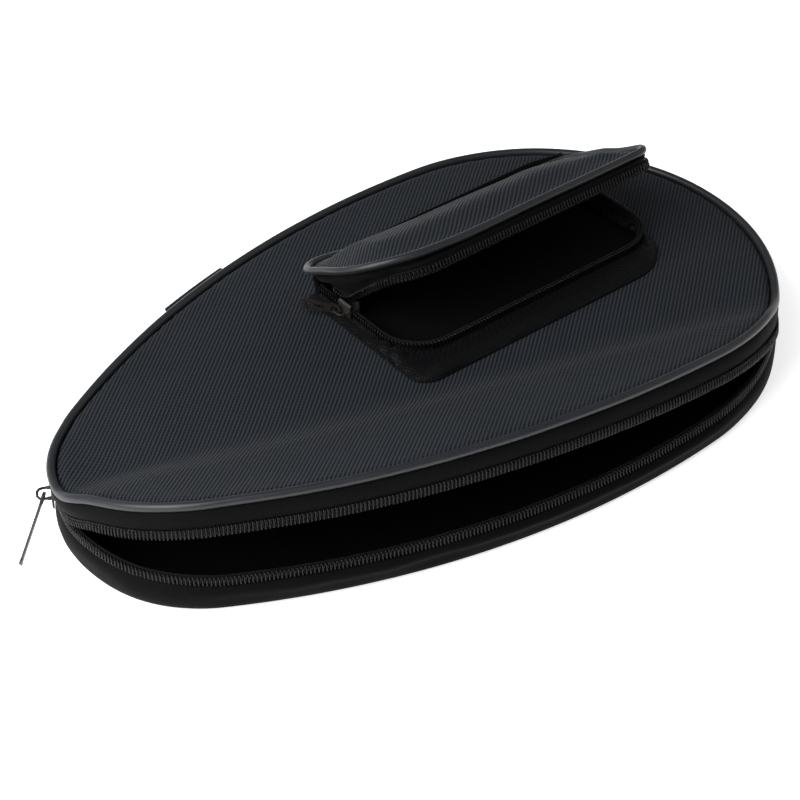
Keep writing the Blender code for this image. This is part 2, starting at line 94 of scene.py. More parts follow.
def even_angles(start, stop, pitch):
    """Normal angles at an even spacing close to pitch millimetres."""
    angles, length = arc_table(start, stop)
    count = max(2, int(round(length[-1] / pitch)))
    marks = np.linspace(0, length[-1], count + 1)
    return np.interp(marks, length, angles), marks


FOLD_A = edge(FOLD_LEFT)
FOLD_B = edge(FOLD_RIGHT)
ALONG = (FOLD_B - FOLD_A) / np.linalg.norm(FOLD_B - FOLD_A)
NEARWARD = np.array([ALONG[1], -ALONG[0]])
FOLD_FROM, FOLD_TO = -5.0, 22.0
RISE_X, RISE_HALF, RISE = -196.0, 42.0, 2.8
TIP_X, TIP_FADE, TIP_RISE = -186.0, 20.0, 1.2


def smooth(t):
    t = np.clip(t, 0.0, 1.0)
    return t * t * (3 - 2 * t)


def lift(points):
    """Shut-lid points (n by 3, millimetres, case plan) turned up about the fold, fading in across it.

    The near rim rises a little more towards the narrow end, and the tip of the soft panel reaches outward.
    """
    points = np.atleast_2d(np.asarray(points, float)).copy()
    rel = points[:, :2] - FOLD_A
    d = rel @ NEARWARD
    s = rel @ ALONG
    angle = np.radians(REST_OPEN) * smooth((d - FOLD_FROM) / (FOLD_TO - FOLD_FROM))
    z = points[:, 2] - FOLD_Z
    rim = smooth((points[:, 2] - 17.0) / 9.0)
    d2 = d * np.cos(angle) - z * np.sin(angle)
    z2 = d * np.sin(angle) + z * np.cos(angle)
    points[:, :2] = FOLD_A + np.outer(s, ALONG) + np.outer(d2, NEARWARD)
    points[:, 2] = z2 + FOLD_Z
    near = smooth((d - 1.0) / 14.0)
    rise = np.exp(-(((points[:, 0] - RISE_X) / RISE_HALF) ** 2)) * near
    tip = smooth((TIP_X - points[:, 0]) / TIP_FADE)
    points[:, 2] += RISE * rise + TIP_RISE * tip * (1 - near)
    points[:, 0] -= (1.2 + 1.8 * rim) * tip * (1 - smooth((d - 8.0) / 20.0))
    return points


def to_frame(points):
    """Case-plan millimetres to frame metres."""
    points = np.atleast_2d(np.asarray(points, float)).copy()
    points[:, :2] += CASE
    return points * MM


def fold_blend(piece):
    """Fabric that crosses the fold of the lifted half: only its placement is baked into its mesh."""
    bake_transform(piece)


# ------------------------------------------------------------------ mesh helpers
def add_mesh(name, vertices, faces, look, uv):
    """A smooth mesh object; uv holds each vertex's two lengths along the cloth, in metres."""
    mesh = bpy.data.meshes.new(name)
    mesh.from_pydata([tuple(v) for v in vertices], [], [tuple(int(i) for i in f) for f in faces])
    layer = mesh.uv_layers.new(name="length")
    index = np.empty(len(mesh.loops), np.int32)
    mesh.loops.foreach_get("vertex_index", index)
    layer.data.foreach_set("uv", np.asarray(uv, np.float32)[index].ravel())
    made = bpy.data.objects.new(name, mesh)
    bpy.context.scene.collection.objects.link(made)
    mesh.materials.append(look)
    mesh.shade_smooth()
    return made


def outward(piece):
    """Faces turned to face out of a closed mesh."""
    mesh = bmesh.new()
    mesh.from_mesh(piece.data)
    bmesh.ops.recalc_face_normals(mesh, faces=mesh.faces)
    mesh.to_mesh(piece.data)
    mesh.free()
    return piece


def skin(name, rings, look, closed, marks=None):
    """Surface through equal closed rings (a list of n by 3 arrays, frame metres), capped unless closed."""
    rings = np.array(rings)
    count, size = rings.shape[:2]
    faces = []
    last = count if closed else count - 1
    for i in range(last):
        j = (i + 1) % count
        for k in range(size):
            m = (k + 1) % size
            faces.append((i * size + k, i * size + m, j * size + m, j * size + k))
    if not closed:
        faces.append(tuple(range(size))[::-1])
        faces.append(tuple((count - 1) * size + k for k in range(size)))
    around = run_of(rings[0])
    if marks is None:
        marks = run_of(rings[:, 0])
    uv = np.array([(marks[i], around[k]) for i in range(count) for k in range(size)])
    return outward(add_mesh(name, rings.reshape(-1, 3), faces, look, uv))


def edge_band(name, look, start, stop, pitch, section, lifted=False, closed=False, change=None):
    """A band swept along the case edge; section is (outward, height) pairs listed round it."""
    angles, marks = even_angles(start, stop, pitch)
    if closed:
        angles, marks = angles[:-1], marks[:-1]
    rings = []
    for a in angles:
        ring = np.array([np.append(edge(a, out), z) for out, z in section])
        if change is not None:
            ring = change(ring, a)
        rings.append(ring)
    rings = np.array(rings)
    if lifted:
        rings = lift(rings.reshape(-1, 3)).reshape(rings.shape)
    return skin(name, [to_frame(r) for r in rings], look, closed, marks * MM)


def frames_along(path, up):
    """Side and up directions at each point of a path (n by 3)."""
    tangent = np.gradient(path, axis=0)
    tangent /= np.linalg.norm(tangent, axis=1)[:, None]
    side = np.cross(tangent, up)
    side /= np.linalg.norm(side, axis=1)[:, None]
    return side, np.cross(side, tangent)


def tube(name, path, radius, look, sides=10, closed=False):
    """Round tube through points (frame metres) with radius in metres."""
    up = np.array([0.0, 0.0, 1.0])
    if closed:
        wide = np.vstack([path[-2:], path, path[:2]])
        side, top = (v[2:-2] for v in frames_along(wide, up))
    else:
        side, top = frames_along(path, up)
    turns = [2 * math.pi * k / sides for k in range(sides)]
    rings = []
    for p, s, t in zip(path, side, top):
        rings.append([p + radius * (math.cos(turn) * s + math.sin(turn) * t) for turn in turns])
    return skin(name, rings, look, closed)


def wrinkle(points, size, depth, seed=0.0):
    """Noise along each point, for soft cloth: size of a fold and depth, millimetres."""
    places = [Vector((x / size + seed, y / size, z / size)) for x, y, z in points]
    return depth * np.array([noise.noise(place) for place in places])


def swell(flat, size, seed):
    """Smooth noise over plan points, between -1 and 1; size is that of a hill, millimetres."""
    return np.array([noise.noise(Vector((x / size, y / size, seed))) for x, y in flat])


# ------------------------------------------------------------------ looks
class Look:
    """A small builder for one Principled material."""

    def __init__(self, name):
        self.material = bpy.data.materials.new(name)
        self.material.use_nodes = True
        self.tree = self.material.node_tree
        self.shader = self.tree.nodes["Principled BSDF"]

    def node(self, kind, **settings):
        made = self.tree.nodes.new("ShaderNode" + kind)
        for key, value in settings.items():
            setattr(made, key, value)
        return made

    def link(self, source, target):
        if isinstance(source, (int, float)):
            target.default_value = source
        else:
            self.tree.links.new(source, target)

    def math(self, operation, a, b=0.0):
        made = self.node("Math", operation=operation)
        self.link(a, made.inputs[0])
        self.link(b, made.inputs[1])
        return made.outputs[0]

    def uv(self):
        parts = self.node("SeparateXYZ")
        self.link(self.node("UVMap", uv_map="length").outputs[0], parts.inputs[0])
        return parts.outputs[0], parts.outputs[1]

    def turned(self, u, v, degrees):
        c, s = math.cos(math.radians(degrees)), math.sin(math.radians(degrees))
        first = self.math("ADD", self.math("MULTIPLY", u, c), self.math("MULTIPLY", v, s))
        second = self.math("SUBTRACT", self.math("MULTIPLY", v, c), self.math("MULTIPLY", u, s))
        return first, second

    def wave(self, value, pitch, phase=0.0):
        """0 to 1 and back once in each pitch (metres)."""
        turned = self.math("MULTIPLY", value, 2 * math.pi / pitch)
        shifted = self.math("ADD", turned, phase)
        return self.math("ADD", self.math("MULTIPLY", self.math("SINE", shifted), 0.5), 0.5)

    def cloud(self, scale, detail=3.0, rough=0.55):
        made = self.node("TexNoise")
        place = self.node("TexCoord")
        self.link(place.outputs["Object"], made.inputs["Vector"])
        made.inputs["Scale"].default_value = scale
        made.inputs["Detail"].default_value = detail
        made.inputs["Roughness"].default_value = rough
        return made.outputs["Fac"]

    def ramp(self, value, stops):
        made = self.node("ValToRGB")
        self.link(value, made.inputs[0])
        while len(made.color_ramp.elements) < len(stops):
            made.color_ramp.elements.new(0.5)
        for element, (place, colour) in zip(made.color_ramp.elements, stops):
            element.position = place
            element.color = (*colour, 1.0)
        return made.outputs[0]

    def range(self, value, low, high):
        return self.math("ADD", self.math("MULTIPLY", value, high - low), low)

    def bump(self, height, strength, distance, before=None):
        made = self.node("Bump")
        self.link(height, made.inputs["Height"])
        made.inputs["Strength"].default_value = strength
        made.inputs["Distance"].default_value = distance
        if before is not None:
            self.link(before, made.inputs["Normal"])
        return made.outputs[0]

    def set(self, **values):
        names = {
            "base": "Base Color",
            "rough": "Roughness",
            "metal": "Metallic",
            "normal": "Normal",
            "sheen": "Sheen Weight",
            "sheen_rough": "Sheen Roughness",
            "specular": "Specular IOR Level",
            "glow": "Emission Strength",
        }
        for key, value in values.items():
            socket = self.shader.inputs[names[key]]
            if isinstance(value, tuple):
                socket.default_value = (*value, 1.0)
            else:
                self.link(value, socket)
        return self.material


def woven(name, dark, light, pitch, turn, sheen, rough, depth, cross=0.3, specular=0.12):
    """Plain-woven synthetic cloth: ribs one way, threads over and under them the other way.

    dark and light are colours, pitch and depth metres, turn the ribs' degrees on the cloth, cross the
    share of the weave that the threads across the ribs have.
    """
    look = Look(name)
    u, v = look.uv()
    u, v = look.turned(u, v, turn)
    rib = look.wave(u, pitch)
    thread = look.wave(v, pitch * 1.05, 0.9)
    knot = look.wave(look.math("ADD", u, look.math("MULTIPLY", v, 0.95)), pitch, 0.4)
    weave = look.math("ADD", look.math("MULTIPLY", rib, 1 - 2 * cross), look.math("MULTIPLY", thread, cross))
    weave = look.math("ADD", weave, look.math("MULTIPLY", knot, cross))
    patches = look.cloud(24.0, 4.0)
    fuzz = look.cloud(1500.0, 2.0, 0.7)
    tone = look.math("ADD", look.math("MULTIPLY", weave, 0.74), look.math("MULTIPLY", patches, 0.16))
    tone = look.math("ADD", tone, look.math("MULTIPLY", fuzz, 0.16))
    height = look.math("ADD", weave, look.math("MULTIPLY", fuzz, 0.35))
    slow = look.bump(look.cloud(70.0, 3.0), 0.25, 0.0012)
    return look.set(
        base=look.ramp(tone, [(0.22, dark), (0.84, light)]),
        rough=look.range(fuzz, *rough),
        normal=look.bump(height, 0.9, depth, slow),
        sheen=sheen,
        sheen_rough=0.45,
        specular=specular,
    )


def smooth_plastic(name, dark, light, rough, grain, depth, specular, sheen=0.0):
    """Moulded or coated plastic, clouded between two colours, with a fine grain."""
    look = Look(name)
    patches = look.cloud(60.0, 4.0)
    speck = look.cloud(grain, 3.0, 0.6)
    tone = look.math("ADD", look.math("MULTIPLY", patches, 0.6), look.math("MULTIPLY", speck, 0.4))
    return look.set(
        base=look.ramp(tone, [(0.3, dark), (0.7, light)]),
        rough=look.range(speck, *rough),
        normal=look.bump(speck, 0.5, depth),
        specular=specular,
        sheen=sheen,
    )


METAL_TONES = [
    (0.15, (0.010, 0.0085, 0.0078)),
    (0.45, (0.020, 0.0175, 0.0160)),
    (1.0, (0.060, 0.053, 0.049)),
]


def dark_metal(name):
    """Blackened zip metal, its colour brighter on sharp edges and in cloudy marks."""
    look = Look(name)
    sharpness = look.node("NewGeometry").outputs["Pointiness"]
    # base colour lifted where the mesh is sharp (pointiness above one half), on every edge alike
    sharp_edge_brightening = look.math("MULTIPLY", look.math("SUBTRACT", sharpness, 0.5), 3.0)
    marks = look.cloud(380.0, 5.0, 0.7)
    tone = look.math("ADD", look.math("MULTIPLY", marks, 0.5), look.math("MAXIMUM", sharp_edge_brightening, 0.0))
    return look.set(
        base=look.ramp(tone, METAL_TONES),
        rough=look.range(marks, 0.34, 0.55),
        metal=0.45,
        normal=look.bump(marks, 0.3, 0.00005),
    )


NYLON = woven(
    "woven_nylon_look", (0.0003, 0.0005, 0.0008), (0.0265, 0.0320, 0.0410), pitch=0.00139, turn=-50.0,
    sheen=0.04, rough=(0.6, 0.78), depth=0.00038, cross=0.15, specular=0.10,
)
WALL = woven(
    "gusset_look", (0.0012, 0.0012, 0.0013), (0.0050, 0.0049, 0.0051), pitch=0.00055, turn=0.0,
    sheen=0.02, rough=(0.62, 0.78), depth=0.00006, specular=0.04,
)
POCKET_CLOTH = woven(
    "pocket_cloth_look", (0.0003, 0.0003, 0.0004), (0.0036, 0.0039, 0.0047), pitch=0.00110, turn=30.0,
    sheen=0.02, rough=(0.42, 0.6), depth=0.00026, specular=0.08,
)
TAPE = woven(
    "zip_tape_look", (0.0010, 0.0010, 0.0011), (0.0045, 0.0046, 0.0050), pitch=0.00060, turn=45.0,
    sheen=0.02, rough=(0.7, 0.85), depth=0.0001, cross=0.33,
)
LINING = woven(
    "lining_look", (0.0005, 0.0005, 0.0005), (0.0036, 0.0035, 0.0033), pitch=0.0013, turn=20.0,
    sheen=0.01, rough=(0.8, 0.95), depth=0.00018, cross=0.33, specular=0.04,
)
WEBBING = woven(
    "webbing_look", (0.0020, 0.0022, 0.0026), (0.0130, 0.0140, 0.0160), pitch=0.0012, turn=90.0,
    sheen=0.04, rough=(0.6, 0.8), depth=0.0002,
)
VINYL = smooth_plastic(
    "piping_look", (0.0070, 0.0083, 0.0102), (0.0125, 0.0145, 0.0176),
    rough=(0.34, 0.48), grain=700.0, depth=0.00008, specular=0.42, sheen=0.02,
)
COIL = smooth_plastic(
    "coil_look", (0.0016, 0.0017, 0.0018), (0.0050, 0.0051, 0.0054),
    rough=(0.30, 0.42), grain=500.0, depth=0.00004, specular=0.30,
)
METAL = dark_metal("blackened_metal_look")

# ------------------------------------------------------------------ camera, light and floor
CAMERA_TARGET = (-65.24, 5.55)
CAMERA_AZIMUTH, CAMERA_ELEVATION, CAMERA_ROLL = -38.18, 39.17, -0.58
CAMERA_DISTANCE, CAMERA_LENS = 0.9164, 110.53


def camera():
    az, el, roll = (math.radians(a) for a in (CAMERA_AZIMUTH, CAMERA_ELEVATION, CAMERA_ROLL))
    back = Vector((math.sin(az) * math.cos(el), -math.cos(az) * math.cos(el), math.sin(el)))
    target = Vector(((CAMERA_TARGET[0] + CASE[0]) * MM, (CAMERA_TARGET[1] + CASE[1]) * MM, 0.0))
    right = (-back).cross(Vector((0, 0, 1))).normalized()
    up = right.cross(-back)
    x = right * math.cos(roll) + up * math.sin(roll)
    y = up * math.cos(roll) - right * math.sin(roll)
    data = bpy.data.cameras.new("camera")
    data.lens = CAMERA_LENS
    data.clip_start = 0.05
    made = bpy.data.objects.new("camera", data)
    facing = Matrix((x, y, back)).transposed().to_4x4()
    made.matrix_world = Matrix.Translation(target + back * CAMERA_DISTANCE) @ facing
    bpy.context.scene.collection.objects.link(made)
    bpy.context.scene.camera = made


def area_light(name, place, target, size, power):
    data = bpy.data.lights.new(name, "AREA")
    data.shape = "RECTANGLE"
    data.size, data.size_y = size
    data.energy = power
    made = bpy.data.objects.new(name, data)
    made.location = place
    made.rotation_mode = "QUATERNION"
    made.rotation_quaternion = (Vector(target) - Vector(place)).to_track_quat("-Z", "Y")
    bpy.context.scene.collection.objects.link(made)


def studio():
    """White glowing floor, even white surroundings and three soft lights."""
    look = Look("floor_look")
    paper = look.cloud(4.0, 2.0)
    tones = [(0.0, (0.90, 0.90, 0.90)), (1.0, (0.93, 0.93, 0.93))]
    floor_look = look.set(base=look.ramp(paper, tones), rough=0.9, glow=0.66)
    look.shader.inputs["Emission Color"].default_value = (1.0, 1.0, 1.0, 1.0)
    bpy.ops.mesh.primitive_plane_add(size=8.0, location=(0, 0, -0.0004))
    floor = bpy.context.object
    floor.name = "floor"
    floor.data.materials.append(floor_look)
    world = bpy.data.worlds.new("studio")
    world.use_nodes = True
    sky = world.node_tree.nodes["Background"]
    sky.inputs["Color"].default_value = (1.0, 1.0, 1.0, 1.0)
    sky.inputs["Strength"].default_value = 0.26
    bpy.context.scene.world = world
    area_light("key", (-0.70, -0.05, 0.65), (-0.10, 0.0, 0.02), (0.8, 0.8), 14.5)
    area_light("fill", (-0.30, 0.75, 0.60), (-0.06, 0.0, 0.02), (0.6, 0.5), 0.9)
    area_light("right", (0.9, -0.3, 0.6), (0.0, 0.0, 0.02), (0.6, 0.5), 0.6)


camera()
studio()
bpy.context.scene.view_settings.view_transform = "Standard"


# ------------------------------------------------------------------ lower shell
SAG_MIDDLE, SAG_HALF = 262.0, 46.0
TIP_MIDDLE, TIP_HALF = 186.0, 30.0


def sag(ring, a):
    """The near rim of the lower shell gives way: it drops, and its row leans in to face up."""
    turn = (a + 360.0) % 360.0
    share = smooth(1 - abs(turn - SAG_MIDDLE) / SAG_HALF)
    tip = smooth(1 - abs(turn - TIP_MIDDLE) / TIP_HALF)
    normal = edge(a, 1.0) - edge(a)
    z = ring[:, 2].copy()
    top = smooth((z - 9.0) / 6.0)
    belly = np.exp(-(((z - 5.0) / 4.0) ** 2))
    ring = ring.copy()
    out = share * (0.9 - 2.0 * top - 2.4 * belly) - tip * 1.2 * belly
    ring[:, :2] += out[:, None] * normal
    ring[:, 2] += smooth((z - 4.0) / 10.0) * (1.1 * tip - 2.8 * share)
    return ring


def soft_wall(ring, a):
    """Wall cloth: the sag, and slow dents between stitched edges."""
    ring = sag(ring, a)
    normal = edge(a, 1.0) - edge(a)
    middle = np.sin(np.clip((ring[:, 2] - 1.0) / 11.0, 0, 1) * np.pi)
    dent = wrinkle(ring, 26.0, 0.9, 3.0) + wrinkle(ring, 9.0, 0.25, 8.0)
    ring[:, :2] += (dent * middle)[:, None] * normal
    return ring


wall_section = [
    (-3.2, 0.35), (-1.4, 0.45), (0.1, 0.9), (1.2, 1.9), (2.0, 3.3), (2.4, 5.0), (2.5, 6.8),
    (2.3, 8.6), (1.85, 10.2), (1.25, 11.5), (0.75, 12.1), (0.55, 12.5), (-0.25, 12.5), (-0.35, 11.9),
    (0.6, 10.2), (1.3, 8.2), (1.7, 6.4), (1.5, 4.6), (0.9, 3.2), (-0.4, 2.2), (-3.2, 2.0),
]
lower_wall = edge_band("lower_wall_cloth", WALL, 0, 360, 3.0, wall_section, closed=True, change=soft_wall)
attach(lower_wall, "case")
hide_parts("lower_wall")


def close_spine(first, size, _flip):
    """Faces across a ring folded onto the case's middle line, joining its mirrored points."""
    faces = [(first, first + 1, first + size - 1)]
    half = size // 2
    for k in range(1, (size + 1) // 2 - 1):
        faces.append((first + k, first + k + 1, first + size - k - 1, first + size - k))
    if size % 2 == 0:
        faces.append((first + half - 1, first + half, first + half + 1))
    return faces


def flat_cap(first, size, flip):
    """One face across a ring."""
    ring = tuple(first + k for k in range(size))
    return [ring[::-1] if flip else ring]


def shell_faces(count, size, cap):
    """Faces of an upper and an under sheet, each of count rings, joined at the rim and capped inside."""
    faces = []
    for sheet in (0, 1):
        base = sheet * count * size
        for i in range(count - 1):
            row, deeper = base + i * size, base + (i + 1) * size
            for k in range(size):
                m = (k + 1) % size
                quad = (row + k, row + m, deeper + m, deeper + k)
                faces.append(quad[::-1] if sheet else quad)
        faces += cap(base + (count - 1) * size, size, bool(sheet))
    for k in range(size):
        m = (k + 1) % size
        faces.append((k, count * size + k, count * size + m, m))
    return faces


def panel(name, look, inset, height, thickness, rings, spokes, lifted=False):
    """A closed cloth panel filling the case outline: height(points) gives its top surface."""
    angles, _ = even_angles(0, 360, OUTLINE_LONG / spokes)
    rim = np.array([edge(a, -inset) for a in angles[:-1]])
    spine = np.stack([np.clip(rim[:, 0] * 0.985, -CENTRES, 0), np.zeros(len(rim))], axis=1)
    shares = np.concatenate([np.linspace(0, 0.16, 8)[:-1], np.linspace(0.16, 0.992, rings)])
    plan = np.array([rim + (spine - rim) * t for t in shares])
    flat = plan.reshape(-1, 2)
    top = np.column_stack([flat, height(flat)])
    low = top.copy()
    low[:, 2] -= thickness
    points = np.vstack([top, low])
    if lifted:
        points = lift(points)
    uv = np.vstack([flat, flat]) * MM
    return outward(add_mesh(name, to_frame(points), shell_faces(*plan.shape[:2], close_spine), look, uv))


def rim_distance(flat):
    """Rough distance of plan points inside the piping line."""
    angles, _ = even_angles(0, 360, 4.0)
    rim = np.array([edge(a) for a in angles[:-1]])
    return np.sqrt(((flat[:, None, :] - rim[None, :, :]) ** 2).sum(2)).min(1)


def bottom_height(flat):
    return np.full(len(flat), 2.4)


bottom = panel("bottom_cloth", NYLON, 2.4, bottom_height, 2.35, rings=10, spokes=160)
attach(bottom, "case")
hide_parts("bottom_panel")


def floor_height(flat):
    return 3.9 + 0.5 * swell(flat, 30.0, 1.7)


floor_lining = panel("floor_lining_cloth", LINING, 3.4, floor_height, 0.7, rings=22, spokes=180)
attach(floor_lining, "case")
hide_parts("floor_lining")
lining_section = [
    (-2.1, 3.6), (-1.2, 4.2), (-0.5, 6.5), (-0.5, 9.5), (-0.9, 12.6),
    (-1.5, 12.6), (-1.2, 9.5), (-1.3, 6.5), (-2.0, 4.8), (-3.2, 4.4),
]
wall_lining = edge_band(
    "wall_lining_cloth", LINING, 0, 360, 4.0, lining_section, closed=True, change=soft_wall
)
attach(wall_lining, "case")
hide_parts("wall_lining")

# ------------------------------------------------------------------ top panel, piping and upper wall
POCKET_FOOT = (-76.2, 52.0, -21.5, 44.0)


def under_pocket(flat):
    """1 well inside the pocket's footprint, fading to 0 outside it."""
    x0, x1, y0, y1 = POCKET_FOOT
    x = np.minimum(flat[:, 0] - x0, x1 - flat[:, 0])
    y = np.minimum(flat[:, 1] - y0, y1 - flat[:, 1])
    return smooth((np.minimum(x, y) + 8.0) / 8.0)


def top_height(flat):
    """Top of the cloth: bowed, sunk and puckered beside the piping, and waved where nothing is sewn on it."""
    inside = rim_distance(flat)
    bow = 0.9 * smooth(inside / 30.0)
    groove = -1.1 * np.exp(-(((inside - 2.0) / 1.5) ** 2))
    around = np.arctan2(flat[:, 1], flat[:, 0] + 60.0)
    pucker = 0.16 * np.sin(around * 97.0) * np.exp(-inside / 7.0)
    waves = (0.75 * swell(flat, 48.0, 5.0) + 0.18 * swell(flat, 17.0, 9.0)) * smooth(inside / 18.0)
    waves *= 1 - under_pocket(flat)
    return 29.4 + bow + groove + pucker + waves


top = panel("top_cloth", NYLON, 1.9, top_height, 1.2, rings=40, spokes=300, lifted=True)
fold_blend(top)
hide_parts("far_panel", "flap_panel")


def top_lining_height(flat):
    return top_height(flat) - 1.9


top_lining = panel("top_lining_cloth", LINING, 3.0, top_lining_height, 0.6, rings=24, spokes=180, lifted=True)
fold_blend(top_lining)
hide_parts("far_lining", "flap_lining")

angles, marks = even_angles(0, 360, 2.2)
pipe_z = [PIPE_Z + 0.12 * noise.noise(Vector((m / 23.0, 0, 0))) for m in marks[:-1]]
pipe_path = np.array([np.append(edge(a), z) for a, z in zip(angles[:-1], pipe_z)])
piping = tube("top_piping_vinyl", to_frame(lift(pipe_path)), PIPE_R * MM, VINYL, sides=16, closed=True)
fold_blend(piping)
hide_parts("far_piping", "flap_piping")


def upper_soft(ring, a):
    """Slow dents in the upper wall, between its stitched edges."""
    normal = edge(a, 1.0) - edge(a)
    middle = np.sin(np.clip((ring[:, 2] - 21.0) / 6.5, 0, 1) * np.pi)
    dent = wrinkle(ring, 22.0, 0.35, 13.0)
    ring = ring.copy()
    ring[:, :2] += (dent * middle)[:, None] * normal
    return ring


upper_section = [
    (-0.2, 20.9), (0.5, 21.0), (0.8, 21.8), (1.05, 23.2), (1.05, 24.8), (0.7, 26.2),
    (0.1, 27.4), (-0.8, 27.6), (-0.6, 26.0), (-0.2, 24.4), (-0.2, 22.6),
]
upper_wall = edge_band(
    "upper_wall_cloth", WALL, 0, 360, 3.0, upper_section, lifted=True, closed=True, change=upper_soft
)
fold_blend(upper_wall)
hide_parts("far_wall", "flap_wall")

# ------------------------------------------------------------------ coil zips
PITCH = 1.4
TURN_STEPS = 12
ROW_OUT = 0.75
LOW_ROW_Z, HIGH_ROW_Z, POCKET_ROW_Z, LID_ROW_Z = 14.55, 18.95, 34.15, 38.0
CASE_COIL_R, POCKET_COIL_R = 0.30, 0.26
CASE_COIL_HALF, POCKET_COIL_HALF = (1.62, 0.62), (1.4, 0.5)
HEADS_UP, HEADS_DOWN = 1, -1


def coil_points(count, half_height, half_depth, notch):
    """One flattened nylon coil: (distance along, across, outward) for each step of the wire."""
    skew = 0.20
    t = np.arange(count * TURN_STEPS + 1) / TURN_STEPS
    c, s = np.cos(2 * np.pi * t), np.sin(2 * np.pi * t)
    across = half_height * np.sign(c) * np.abs(c) ** 0.75
    outward_by = half_depth * np.sign(s) * np.abs(s) ** 0.8
    outward_by = outward_by - notch * np.exp(-((across / 0.45) ** 2)) * (s > 0)
    along = PITCH * (t + skew * c * np.where(s > 0, 1.0, -1.0) * 0.5)
    return along, across, outward_by


def wire(name, path, radius, look, sides=5):
    """Thin wire through many points (frame metres), built in one pass."""
    tangent = np.gradient(path, axis=0)
    tangent /= np.linalg.norm(tangent, axis=1)[:, None]
    helper = np.array([0.31, 0.17, 0.93])
    side = np.cross(tangent, helper)
    length = np.linalg.norm(side, axis=1)
    side /= np.maximum(length, 1e-6)[:, None]
    up = np.cross(side, tangent)
    turn = 2 * np.pi * np.arange(sides) / sides
    round_it = np.cos(turn)[:, None] * side[:, None, :] + np.sin(turn)[:, None] * up[:, None, :]
    rings = path[:, None, :] + radius * round_it
    count = len(path)
    i = np.arange(count - 1)[:, None] * sides
    k = np.arange(sides)[None, :]
    m = (k + 1) % sides
    faces = np.stack([i + k, i + m, i + sides + m, i + sides + k], axis=-1).reshape(-1, 4).tolist()
    faces.append(list(range(sides))[::-1])
    faces.append([(count - 1) * sides + j for j in range(sides)])
    return outward(add_mesh(name, rings.reshape(-1, 3), faces, look, np.zeros((count * sides, 2))))


def edge_coil(name, z, heads, lifted=False, sagging=False):
    """One row's coil along the open and the closed stretch of the case's zip."""
    angles, length = arc_table(ZIP_FAR + 0.6, 360 + FOLD_RIGHT - 1.2)
    turns = int(length[-1] / PITCH) - 1
    along, across, away = coil_points(turns, *CASE_COIL_HALF, notch=0.32)
    along = along + PITCH * (0.6 if heads == HEADS_UP else 1.1)
    turned = np.interp(along, length, angles)
    plan = np.array([edge(a, ROW_OUT + out) for a, out in zip(turned, away)])
    points = np.column_stack([plan, z + across * heads])
    if sagging:
        points = np.array([sag(p[None, :], a)[0] for p, a in zip(points, turned)])
    if lifted:
        points = lift(points)
    return wire(name, to_frame(points), CASE_COIL_R * MM, COIL)


low_coil = edge_coil("lower_coil_wire", LOW_ROW_Z, HEADS_UP, sagging=True)
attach(low_coil, "case")
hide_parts("lower_zip_coil")
high_coil = edge_coil("upper_coil_wire", HIGH_ROW_Z, HEADS_DOWN, lifted=True)
fold_blend(high_coil)
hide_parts("closed_zip_coil", "flap_zip_coil")

low_tape_section = [
    (-0.15, 11.4), (0.05, 12.6), (0.05, 15.9), (-0.25, 16.15), (-0.85, 16.0), (-0.95, 12.6), (-1.0, 11.4),
]
low_tape = edge_band("lower_tape_cloth", TAPE, ZIP_FAR, 360 + FOLD_RIGHT, 3.0, low_tape_section, change=sag)
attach(low_tape, "case")
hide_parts("lower_zip_tape")
high_tape_section = [
    (-0.25, 17.3), (0.05, 17.6), (0.05, 20.6), (-0.1, 22.3), (-1.0, 22.3), (-0.95, 20.6), (-0.85, 17.4),
]
high_tape = edge_band(
    "upper_tape_cloth", TAPE, ZIP_FAR, 360 + FOLD_RIGHT, 3.0, high_tape_section, lifted=True
)
fold_blend(high_tape)
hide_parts("closed_zip_tape", "flap_zip_tape")

spine_section = [
    (-0.5, 11.8), (0.4, 12.0), (1.0, 13.0), (1.5, 15.0), (1.6, 17.0), (1.4, 19.0), (0.95, 20.8),
    (0.4, 21.6), (-0.4, 21.6), (0.1, 19.0), (0.3, 16.8), (0.2, 14.6), (-0.3, 12.6),
]
spine = edge_band("spine_cloth", WALL, FOLD_RIGHT + 1.6, ZIP_FAR + 0.4, 3.0, spine_section)
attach(spine, "case")
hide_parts("spine_wall")
tack_section = [(-0.9, 11.9), (1.5, 12.1), (2.0, 13.0), (2.1, 20.2), (1.6, 21.2), (-0.9, 21.3)]
tack = edge_band("zip_end_tack_cloth", TAPE, FOLD_RIGHT - 0.4, FOLD_RIGHT + 2.4, 0.8, tack_section)
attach(tack, "case")
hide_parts("zip_end_tack")

# ------------------------------------------------------------------ side loop
LOOP_START, LOOP_STOP = 102.0, 107.5
loop_section = [
    (0.4, 24.3), (3.0, 24.0), (5.6, 24.2), (6.3, 24.9), (6.4, 25.7), (5.7, 26.4), (3.0, 26.6),
    (0.4, 26.3), (0.4, 25.7), (3.0, 25.7), (5.2, 25.5), (5.2, 25.1), (3.0, 24.9), (0.4, 25.0),
]
loop = edge_band("side_loop_webbing", WEBBING, LOOP_START, LOOP_STOP, 1.2, loop_section)
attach(loop, "case")
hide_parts("side_loop")

# ------------------------------------------------------------------ ball pocket
SEAM_Y, SEAM_Z = 46.5, 43.0
LID_OPEN = 27.4


def lid_turn(points, share=1.0):
    """Shut-lid points turned up about the lid's rear seam, all the way or by a share for each point."""
    points = np.atleast_2d(np.asarray(points, float)).copy()
    angle = math.radians(LID_OPEN) * share
    ahead = SEAM_Y - points[:, 1]
    high = points[:, 2] - SEAM_Z
    points[:, 1] = SEAM_Y - (ahead * np.cos(angle) - high * np.sin(angle))
    points[:, 2] = SEAM_Z + ahead * np.sin(angle) + high * np.cos(angle)
    return points


def resample(path, count):
    """The same path through this many evenly spaced points."""
    length = run_of(path)
    marks = np.linspace(0, length[-1], count)
    return np.column_stack([np.interp(marks, length, column) for column in path.T])


def even_path(path, step):
    return resample(path, max(4, int(round(run_of(path)[-1] / step))) + 1)


